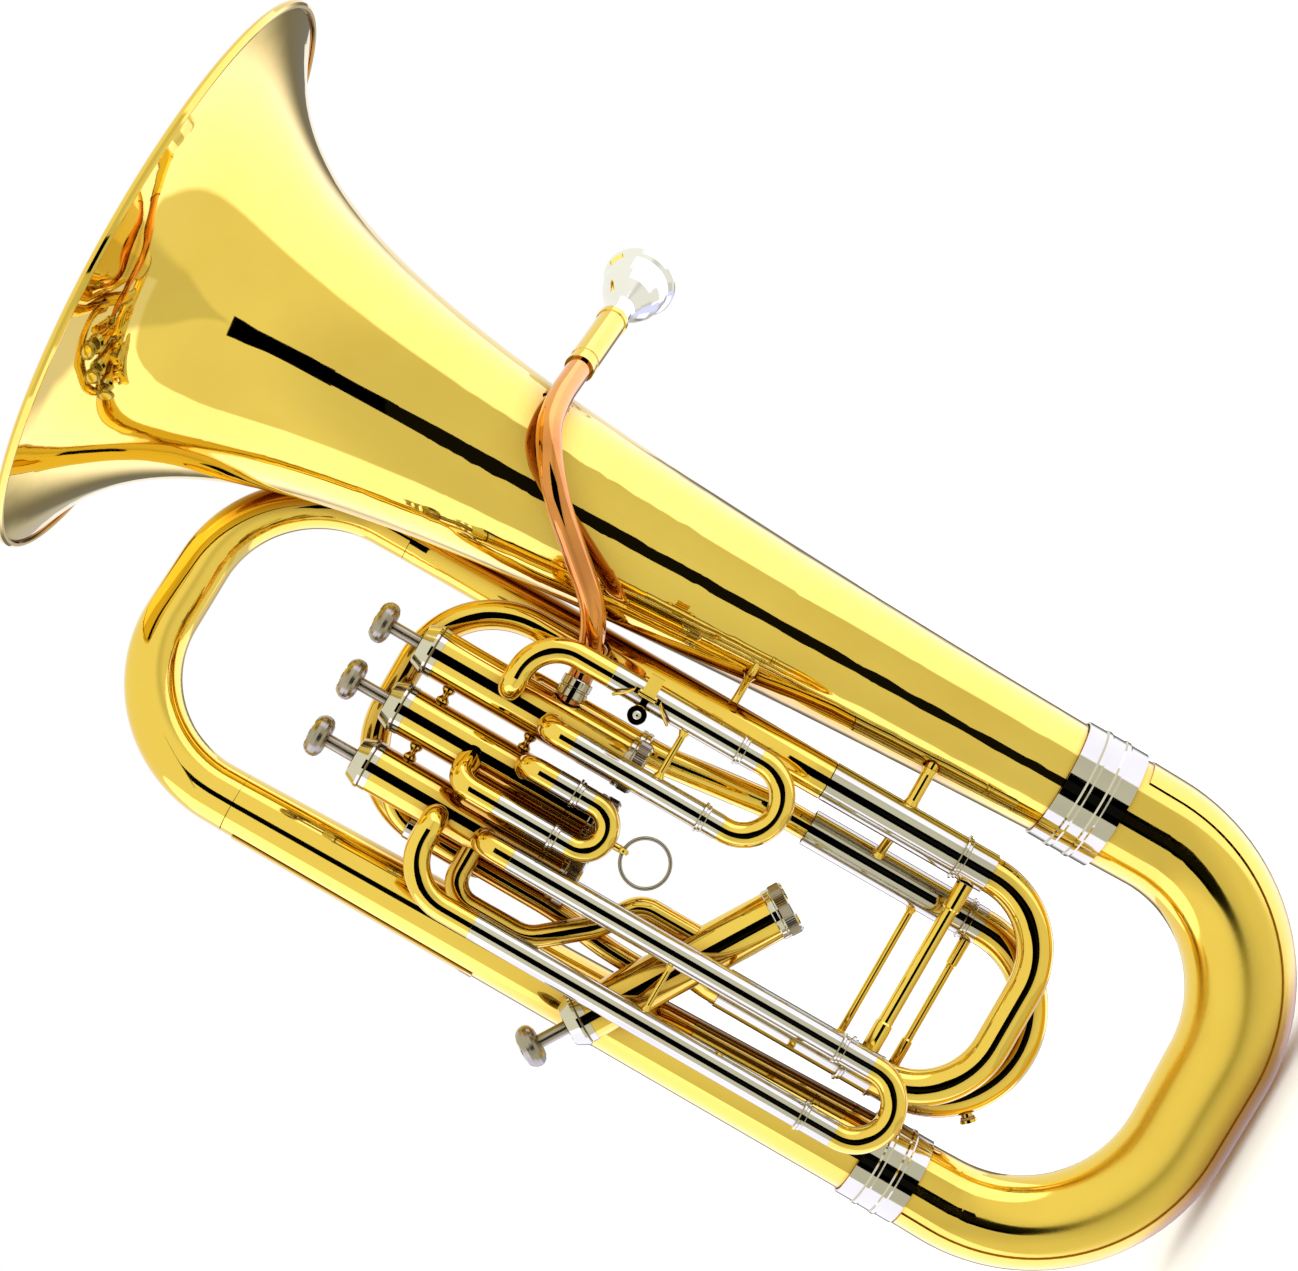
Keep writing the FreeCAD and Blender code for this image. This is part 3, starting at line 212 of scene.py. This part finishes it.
BRASS = rgb(0.97, 0.70, 0.092)
BRASS_DEEP = rgb(0.80, 0.46, 0.030)
TUBE_BRASS = rgb(0.90, 0.635, 0.075)
# painted shade: the dark brown that the brass goes to between crowded tubes
RECESS_SHADE_BRASS = rgb(0.42, 0.185, 0.008)
LOW_WEAR = 0.30
# the recess colours below are painted shade between crowded tubes
MATERIALS = {
    "bell_brass": metal("bell_brass", BRASS, BRASS_DEEP, 0.030, 0.02, 0.35, 1.6, recess_shade=RECESS_SHADE_BRASS,
                        worn=LOW_WEAR),
    "lacquered_brass": metal("lacquered_brass", TUBE_BRASS, BRASS_DEEP, 0.045, 0.03, 0.35, 1.6,
                             recess_shade=RECESS_SHADE_BRASS, worn=LOW_WEAR),
    "rose_brass": metal("rose_brass", rgb(0.88, 0.36, 0.050), rgb(0.46, 0.14, 0.02), 0.05, 0.04, 0.6, 1.5,
                        recess_shade=rgb(0.30, 0.08, 0.012), streaks=0.6),
    "nickel_silver": metal("nickel_silver", rgb(0.68, 0.645, 0.45), rgb(0.42, 0.36, 0.22), 0.045, 0.04,
                           grain=0.02, recess_shade=rgb(0.36, 0.29, 0.18)),
    "valve_nickel": metal("valve_nickel", rgb(0.42, 0.37, 0.25), rgb(0.26, 0.21, 0.12), 0.24, 0.10,
                          grain=0.05, recess_shade=rgb(0.28, 0.22, 0.13)),
    "silver_plate": metal("silver_plate", rgb(0.92, 0.91, 0.78), rgb(0.66, 0.64, 0.52), 0.03, 0.03),
    "piston_plate": metal("piston_plate", rgb(0.70, 0.69, 0.66), rgb(0.45, 0.43, 0.40), 0.16, 0.08,
                          grain=0.15),
    "spring_steel": metal("spring_steel", rgb(0.60, 0.58, 0.55), rgb(0.36, 0.34, 0.31), 0.20, 0.10,
                          grain=0.10),
    "felt": soft("felt", rgb(0.30, 0.27, 0.22), rgb(0.16, 0.13, 0.10), 0.95, 2600.0, 0.0004, 0.4),
    "cork": soft("cork", rgb(0.42, 0.25, 0.12), rgb(0.16, 0.08, 0.035), 0.85, 1500.0, 0.0003),
}

for node in NODES.values():
    node_slot = node.material_slots[0].material.name.split(".")[0]
    for held in node.material_slots:
        held.material = MATERIALS[node_slot]


# ---------------------------------------------------------------- small pieces, in mm

TURNED_STEPS = 64
TURNED_CREASE, WIRE_CREASE = 35.0, 60.0
CASING_MIDDLE = 58.25
BOTTOM_CAP_RADIUS = 13.35
KNURL_LOW, KNURL_HIGH = 1.2, 7.2
KNURL_TEETH, KNURL_TOOTH = 72, 0.28
BUTTON_HALF = 4.4
BUTTON_PLATE = [(0.0, 0.0), (6.9, 0.0), (6.9, 0.5), (6.0, 0.85), (3.4, 1.1), (0.0, 1.2)]
SPRING_LOW, SPRING_HIGH = 2.6, 47.2
SPRING_RADIUS, SPRING_WIRE, SPRING_PITCH = 9.2, 0.55, 8.0
STEPS_PER_TURN = 28
KEY_CUP = [(0.0, 2.7), (1.0, 2.5), (2.0, 1.9), (3.0, 0.8), (3.6, 1.5), (4.1, 2.2), (4.6, 2.2),
           (4.8, 1.6), (4.2, 0.3), (3.0, -0.4), (0.0, -0.6)]
KEY_SPRING_ARM = [(-7.6, 5.4, 15.0), (-4.6, 0.6, 11.0), (0.6, -1.0, 6.0), (2.0, -1.2, 5.2)]
KEY_SPRING_WIRE = 0.75
SLEEVE_X, SLEEVE_FRONT = -66.5, -65.0
LINK_RING_BORE, LINK_RING_HEIGHT = 5.65, 9.0
LINK_RING_FOOT = (-181.0, -22.6, 427.5)


def middle(node_name):
    """The middle of a CAD node's box."""
    low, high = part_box(node_name)
    return (low + high) / 2.0 / MM


def mesh_from(sheet, name):
    mesh = bpy.data.meshes.new(name)
    sheet.to_mesh(mesh)
    sheet.free()
    return mesh


def new_object(name, data):
    item = bpy.data.objects.new(name, data)
    bpy.context.scene.collection.objects.link(item)
    return item


def add_piece(name, mesh, crease, body, slot):
    """A new piece, in its metal, that moves with a body. Edges that bend more than crease, in degrees,
    stay sharp."""
    for face in mesh.polygons:
        face.use_smooth = True
    mesh.set_sharp_from_angle(angle=math.radians(crease))
    mesh.materials.clear()
    mesh.materials.append(MATERIALS[slot])
    item = new_object(name, mesh)
    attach(item, body)
    return item


def turned(name, section, foot, axis, body, slot, steps=TURNED_STEPS, tooth=0.0):
    """A closed outline of (radius, height) points turned about an axis that starts at foot.
    With a tooth, every other step of the widest points stands out by that much, as on a knurl."""
    widest = max(radius for radius, height in section)
    sheet = bmesh.new()
    rings = []
    for step in range(steps):
        angle = 2.0 * math.pi * step / steps
        ring = []
        for radius, height in section:
            reach = radius + (tooth if radius == widest and step % 2 else 0.0)
            ring.append(sheet.verts.new((reach * math.cos(angle), reach * math.sin(angle), height)))
        rings.append(ring)
    for ring, beside in zip(rings, rings[1:] + rings[:1]):
        for k in range(len(section)):
            after = (k + 1) % len(section)
            sheet.faces.new((ring[k], beside[k], beside[after], ring[after]))
    bmesh.ops.remove_doubles(sheet, verts=sheet.verts, dist=0.001)
    bmesh.ops.recalc_face_normals(sheet, faces=sheet.faces)
    turn = Vector(axis).to_track_quat("Z", "Y").to_matrix().to_4x4()
    sheet.transform(Matrix.Scale(MM, 4) @ Matrix.Translation(Vector(foot)) @ turn)
    return add_piece(name, mesh_from(sheet, name), TURNED_CREASE, body, slot)


def wire(name, points, radius, body, slot, kind="NURBS"):
    """A round wire along a line through its points: a smooth one, or a POLY one."""
    data = bpy.data.curves.new(name, "CURVE")
    data.dimensions = "3D"
    data.bevel_depth = radius * MM
    data.bevel_resolution = 3
    data.use_fill_caps = True
    spline = data.splines.new(kind)
    spline.points.add(len(points) - 1)
    for held, point in zip(spline.points, points):
        held.co = (point[0] * MM, point[1] * MM, point[2] * MM, 1.0)
    if kind == "NURBS":
        spline.order_u = 3
        spline.use_endpoint_u = True
        spline.resolution_u = 12
    line = bpy.data.objects.new(name + "_line", data)
    mesh = bpy.data.meshes.new_from_object(line)
    bpy.data.objects.remove(line)
    return add_piece(name, mesh, WIRE_CREASE, body, slot)


def grooved_ring(name, bore, height, foot):
    """An upright nickel ring soldered on a tube, with a groove round its middle."""
    outer = bore + 1.3
    groove = outer - 0.5
    section = [(bore, 0.0), (outer - 0.4, 0.0), (outer, 0.5), (outer, height * 0.4),
               (groove, height * 0.46), (groove, height * 0.54), (outer, height * 0.6),
               (outer, height - 0.5), (outer - 0.4, height), (bore, height)]
    turned(name, section, foot, UP, "horn", "nickel_silver")


def cap_knurl(number, foot, axis):
    """A band of fine upright ridges round a bottom cap, for fingers to grip."""
    edge, back = BOTTOM_CAP_RADIUS - 0.3, BOTTOM_CAP_RADIUS - 0.8
    section = [(edge, KNURL_LOW), (BOTTOM_CAP_RADIUS, KNURL_LOW + 0.4),
               (BOTTOM_CAP_RADIUS, KNURL_HIGH - 0.4), (edge, KNURL_HIGH), (back, KNURL_HIGH),
               (back, KNURL_LOW)]
    turned("bottom_cap_%d_knurl" % number, section, foot, axis, "horn", "valve_nickel",
           2 * KNURL_TEETH, KNURL_TOOTH)


def coil_spring(number, foot, axis):
    """A spring between the bottom cap and the piston."""
    up = Vector(axis)
    across = up.orthogonal().normalized()
    beside = up.cross(across)
    rise = SPRING_HIGH - SPRING_LOW
    turns = rise / SPRING_PITCH
    count = int(turns * STEPS_PER_TURN)
    points = []
    for step in range(count + 1):
        angle = 2.0 * math.pi * turns * step / count
        level = SPRING_LOW + rise * step / count
        outward = across * math.cos(angle) + beside * math.sin(angle)
        points.append(foot + up * level + outward * SPRING_RADIUS)
    coil = wire("valve_%d_coil" % number, points, SPRING_WIRE, "horn", "spring_steel", "POLY")
    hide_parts("valve_%d_spring" % number)
    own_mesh(coil)


def valve_details(number):
    """The knurl on a valve's bottom cap, the domed plate in its button and its spring."""
    axis = (middle("valve_%d_stem" % number) - middle("valve_%d_piston" % number)).normalized()
    foot = middle("valve_%d_casing" % number) - axis * CASING_MIDDLE
    cap_knurl(number, foot, axis)
    button_top = middle("valve_%d_button" % number) + axis * BUTTON_HALF
    turned("button_%d_plate" % number, BUTTON_PLATE, button_top, axis, "valve_%d" % number,
           "silver_plate")
    coil_spring(number, foot, axis)


def water_key_1_details():
    """The round cup at the key's end, and the spring that is bent over the slide's sleeve."""
    low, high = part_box("water_key_1_lever")
    level = (low.z + high.z) / 2.0 / MM
    end_x, front_y = low.x / MM, low.y / MM
    turned("water_key_1_cup", KEY_CUP, (end_x + 0.5, front_y + 1.4, level), (0.0, -1.0, 0.0),
           "water_key_1", "nickel_silver")
    for sign, label in ((1.0, "upper"), (-1.0, "lower")):
        points = [(SLEEVE_X + x, SLEEVE_FRONT + y, level + sign * z) for x, y, z in KEY_SPRING_ARM]
        wire("water_key_1_spring_%s" % label, points, KEY_SPRING_WIRE, "horn", "lacquered_brass")


for valve in (1, 2, 3, 4):
    valve_details(valve)
water_key_1_details()
grooved_ring("upper_link_ring", LINK_RING_BORE, LINK_RING_HEIGHT, LINK_RING_FOOT)


# ---------------------------------------------------------------- studio

# A direction is given by two angles in degrees. Its side is how far it points to the right of the
# horn's middle plane. Its drop is how far it points down from straight ahead, and it goes on under
# the horn and up behind it. Lights are strengths, where 1 is white.

WHITE = rgb(1.0, 1.0, 1.0)
WALL_TINT = rgb(1.0, 1.03, 1.60)
WALL_DROPS, WALL_LIGHTS = (0.0, 20.0), (1.70, 1.45)
BEHIND_FROM, BEHIND_TO, BEHIND_LIGHT = 0.74, 0.92, 0.20
FILL_LIGHT = 1.8

# the two front boards: level with the horn each reaches to its edge, and below that it curves in
RIGHT_EDGE, RIGHT_CURVE, RIGHT_POWER, RIGHT_DROPS = 56.0, 47.0, 2.2, (20.0, 119.0)
LEFT_EDGE, LEFT_CURVE, LEFT_POWER, LEFT_DROPS = 62.0, 50.0, 3.5, (25.0, 95.0)
RIGHT_SOFT, LEFT_SOFT, MIDDLE_SOFT = 3.0, 2.0, 0.5
RIGHT_END, LEFT_END = (114.0, 118.0), (90.0, 93.0)
BOARD_DROPS, BOARD_LIGHTS = (-8.0, 14.0), (0.98, 0.70)
BOARD_FOOT_DROPS, BOARD_FOOT_LIGHT = (14.0, 40.0), 0.16

# the dark gap between the boards, and the greyer wedge that it opens into below
GAP_SIDE = -4.8
GAP_NARROW, GAP_WIDE, GAP_FOOT_HALF = 9.0, 21.0, 5.6
GAP_FROM, GAP_TO, GAP_FOOT, GAP_FADE = -16.0, 21.0, 46.5, 0.8
NARROWING_END = 40.0
GAP_SOFT, GAP_LIGHT = 0.4, 0.006
WEDGE_SIDE, WEDGE_HALVES, WEDGE_SOFT = -3.4, (0.5, 9.8), 1.6
WEDGE_START, WEDGE_FOOT = 52.0, 80.0
WEDGE_SHARE, WEDGE_LIGHT = 0.8, 0.62

# the cards that close parts of the gap for some of the tubes
CARD_DISTANCE, CARD_STEPS, CARD_LAP = 30.0, 16, 0.5
BOW_GAP, BOW_GAP_HALF = (4.8, 15.0), 14.0
WIDE_TUBES = ("bell", "bell_rim_wire", "bottom_bow", "outer_branch", "top_bow", "wear_guards")

FLOOR_HALF, FLOOR_CLEARANCE = 6.0, 0.0002
FLOOR_DARK, FLOOR_PALE = rgb(0.88, 0.87, 0.80), rgb(0.91, 0.90, 0.83)

CAMERA_DISTANCE, SENSOR_WIDTH, VIEW_WIDTH = 1.55, 36.0, 0.649
CAMERA_AIM = Vector((-0.041, 0.0, 0.380))
CAMERA_ROLL = math.radians(60)


def side_and_drop(graph, direction):
    """The two angles of a direction, and how far it points away from the camera."""
    right, away, up = graph.node("ShaderNodeSeparateXYZ", Vector=direction).outputs
    side = graph.math("MULTIPLY", graph.math("ARCSINE", right), DEGREES)
    drop = graph.math("ARCTAN2", graph.math("MULTIPLY", up, -1.0), graph.math("MULTIPLY", away, -1.0))
    return side, graph.math("MULTIPLY", drop, DEGREES), away


def board_light(graph, drop):
    """How bright the front boards are: brightest level with the horn and above it."""
    upper = graph.ramp(drop, *BOARD_DROPS, *BOARD_LIGHTS)
    lower = graph.ramp(drop, *BOARD_FOOT_DROPS, 0.0, BOARD_FOOT_LIGHT)
    return graph.math("ADD", upper, lower)


def board_reach(graph, drop, edge, curve, power, drops):
    """How far to its side a board reaches."""
    along = graph.ramp(drop, *drops, easing="LINEAR")
    return graph.math("SUBTRACT", edge, graph.math("MULTIPLY", graph.math("POWER", along, power), curve))


def boards(graph, side, drop):
    """1 on the two boards, and 0 off them."""
    right_reach = board_reach(graph, drop, RIGHT_EDGE, RIGHT_CURVE, RIGHT_POWER, RIGHT_DROPS)
    left_reach = board_reach(graph, drop, LEFT_EDGE, LEFT_CURVE, LEFT_POWER, LEFT_DROPS)
    on_right = graph.ramp(graph.math("SUBTRACT", right_reach, side), 0.0, RIGHT_SOFT)
    on_left = graph.ramp(graph.math("ADD", side, left_reach), 0.0, LEFT_SOFT)
    right_half = graph.ramp(side, -MIDDLE_SOFT, MIDDLE_SOFT)
    above_foot = graph.blend(right_half, graph.ramp(drop, *LEFT_END, 1.0, 0.0),
                             graph.ramp(drop, *RIGHT_END, 1.0, 0.0))
    return graph.math("MULTIPLY", graph.math("MULTIPLY", on_right, on_left), above_foot)


def wedge_below_gap(graph, side, drop):
    """How much of the wedge's grey shows."""
    away_from_middle = graph.math("ABSOLUTE", graph.math("SUBTRACT", side, WEDGE_SIDE))
    half = graph.ramp(drop, GAP_FOOT, WEDGE_FOOT, *WEDGE_HALVES)
    wedge = graph.ramp(graph.math("SUBTRACT", half, away_from_middle), -WEDGE_SOFT, WEDGE_SOFT)
    wedge = graph.math("MULTIPLY", wedge, graph.ramp(drop, GAP_FOOT, WEDGE_START))
    return graph.math("MULTIPLY", wedge, WEDGE_SHARE)


def dark_gap(graph, side, drop):
    """1 in the gap, which is wide level with the horn and narrow below, and 0 beside it."""
    away_from_middle = graph.math("ABSOLUTE", graph.math("SUBTRACT", side, GAP_SIDE))
    narrow = graph.ramp(drop, 0.0, NARROWING_END, GAP_NARROW, GAP_FOOT_HALF)
    below_top = graph.math("GREATER_THAN", drop, GAP_FROM)
    level = graph.math("MULTIPLY", below_top, graph.math("LESS_THAN", drop, GAP_TO))
    half = graph.blend(level, narrow, GAP_WIDE)
    gap = graph.ramp(graph.math("SUBTRACT", half, away_from_middle), -GAP_SOFT, GAP_SOFT)
    above_foot = graph.ramp(drop, GAP_FOOT, GAP_FOOT + GAP_FADE, 1.0, 0.0)
    return graph.math("MULTIPLY", gap, graph.math("MULTIPLY", below_top, above_foot))


def studio_world():
    """White all round to the camera. The metal sees two tall soft boards in front with a dark gap
    between them, which curve in under the horn, brighter walls at the sides and a dim space behind."""
    world = bpy.data.worlds.new("studio")
    bpy.context.scene.world = world
    world.use_nodes = True
    graph = Graph(world.node_tree)
    direction = graph.tree.nodes.new("ShaderNodeTexCoord").outputs["Generated"]
    side, drop, away = side_and_drop(graph, direction)

    behind = graph.ramp(away, BEHIND_FROM, BEHIND_TO)
    board = boards(graph, side, drop)
    light = graph.blend(behind, graph.ramp(drop, *WALL_DROPS, *WALL_LIGHTS), BEHIND_LIGHT)
    light = graph.blend(board, light, board_light(graph, drop))
    light = graph.blend(wedge_below_gap(graph, side, drop), light, WEDGE_LIGHT)
    light = graph.blend(dark_gap(graph, side, drop), light, GAP_LIGHT)

    path = graph.tree.nodes.new("ShaderNodeLightPath")
    to_camera, to_matt = path.outputs["Is Camera Ray"], path.outputs["Is Diffuse Ray"]
    strength = graph.blend(to_camera, graph.blend(to_matt, light, FILL_LIGHT), 1.0)
    untinted = graph.math("MAXIMUM", graph.math("MAXIMUM", to_camera, to_matt), behind)
    tint = graph.mix(untinted, graph.mix(board, WALL_TINT, WHITE), WHITE)
    graph.output(graph.node("ShaderNodeBackground", Color=tint, Strength=strength),
                 "ShaderNodeOutputWorld")


def narrow_half(drop):
    """Half the width of the dark gap's narrow part, in degrees."""
    share = min(max(drop / NARROWING_END, 0.0), 1.0)
    eased = share * share * (3.0 - 2.0 * share)
    return GAP_NARROW + (GAP_FOOT_HALF - GAP_NARROW) * eased


def reflected_card(name, sides, drops, lit, distance=CARD_DISTANCE):
    """A far card in front of the dark gap. The nodes in lit see it as part of the boards, and it stays
    dark to all the others. sides(drop) gives its left and right edge at one drop, in degrees."""
    sheet = bmesh.new()
    rows = []
    for down in range(CARD_STEPS + 1):
        level = drops[0] + (drops[1] - drops[0]) * down / CARD_STEPS
        left, right = sides(level)
        drop = math.radians(level)
        row = []
        for across in range(CARD_STEPS + 1):
            side = math.radians(left + (right - left) * across / CARD_STEPS)
            row.append(sheet.verts.new((distance * math.sin(side),
                                        -distance * math.cos(side) * math.cos(drop),
                                        -distance * math.cos(side) * math.sin(drop))))
        rows.append(row)
    for upper, lower in zip(rows, rows[1:]):
        for k in range(CARD_STEPS):
            sheet.faces.new((upper[k], upper[k + 1], lower[k + 1], lower[k]))
    card = new_object(name, mesh_from(sheet, name))

    material, graph = new_material(name)
    spot = graph.tree.nodes.new("ShaderNodeNewGeometry").outputs["Position"]
    unit = graph.tree.nodes.new("ShaderNodeVectorMath")
    unit.operation = "NORMALIZE"
    graph.feed(unit.inputs[0], spot)
    drop = side_and_drop(graph, unit.outputs[0])[1]
    graph.output(graph.node("ShaderNodeEmission", Color=WHITE, Strength=board_light(graph, drop)))
    card.data.materials.append(material)

    card.visible_camera = False
    card.visible_diffuse = False
    card.visible_shadow = False
    group = bpy.data.collections.new(name + "_lights")
    for node_name in lit:
        group.objects.link(NODES[node_name])
    card.light_linking.receiver_collection = group


def studio_cards():
    """The bell and the wide tubes see a narrower gap than the small tubes. Only the bell sees its
    narrow lower part, and the bottom bow sees a short piece of it."""
    top, foot = GAP_FROM - CARD_LAP, GAP_TO + CARD_LAP
    not_bow = [name for name in WIDE_TUBES if name != "bottom_bow"]
    not_bell = [name for name in NODES if name != "bell"]

    def narrow_part(drop):
        half = narrow_half(drop) + CARD_LAP
        return GAP_SIDE - half, GAP_SIDE + half

    for label, way in (("left", -1.0), ("right", 1.0)):
        def outer_part(drop, way=way):
            return GAP_SIDE + way * BOW_GAP_HALF, GAP_SIDE + way * (GAP_WIDE + CARD_LAP)

        def inner_part(drop, way=way):
            return GAP_SIDE + way * (narrow_half(drop) - CARD_LAP), GAP_SIDE + way * BOW_GAP_HALF

        reflected_card("gap_%s" % label, outer_part, (top, foot), WIDE_TUBES)
        reflected_card("gap_%s_high" % label, inner_part, (top, BOW_GAP[0]), WIDE_TUBES)
        reflected_card("gap_%s_level" % label, inner_part, BOW_GAP, not_bow)
        reflected_card("gap_%s_low" % label, inner_part, (BOW_GAP[1], foot), WIDE_TUBES)
    reflected_card("gap_foot", narrow_part, (GAP_TO, GAP_FOOT + 1.0), not_bell)
    # farther than the cards above, so that none of them lie in one surface
    farther = CARD_DISTANCE + 1.0
    reflected_card("bow_high", narrow_part, (top, BOW_GAP[0]), ["bottom_bow"], farther)
    reflected_card("bow_low", narrow_part, (BOW_GAP[1], foot), ["bottom_bow"], farther)


def studio_floor():
    """A pale floor under the lowest point. The metal doesn't mirror it."""
    level = CAD_BOX[0].z - FLOOR_CLEARANCE
    bpy.ops.mesh.primitive_plane_add(size=2 * FLOOR_HALF, location=(0.0, 0.0, level))
    floor = bpy.context.object
    floor.name = "studio_floor"
    material, graph = new_material("floor_paint")
    shader = graph.node("ShaderNodeBsdfPrincipled", Roughness=0.9)
    cloud = graph.noise(graph.place(), 3.0)
    graph.feed(shader.inputs["Base Color"], graph.mix(cloud, FLOOR_DARK, FLOOR_PALE))
    graph.output(shader)
    floor.data.materials.append(material)
    floor.visible_glossy = False


def studio_camera():
    """Level with the middle of the horn and turned so that the bell points up and to the left."""
    image_right = Vector((math.cos(CAMERA_ROLL), 0.0, -math.sin(CAMERA_ROLL)))
    image_up = Vector((math.sin(CAMERA_ROLL), 0.0, math.cos(CAMERA_ROLL)))
    back = Vector((0.0, -1.0, 0.0))
    turn = Matrix((image_right, image_up, back)).transposed()
    data = bpy.data.cameras.new("camera")
    data.sensor_width = SENSOR_WIDTH
    data.lens = SENSOR_WIDTH * CAMERA_DISTANCE / VIEW_WIDTH
    camera = new_object("camera", data)
    camera.matrix_world = Matrix.Translation(CAMERA_AIM + back * CAMERA_DISTANCE) @ turn.to_4x4()
    bpy.context.scene.camera = camera


studio_world()
studio_cards()
studio_floor()
studio_camera()
bpy.context.scene.view_settings.view_transform = "Standard"
bpy.context.scene.view_settings.look = "None"
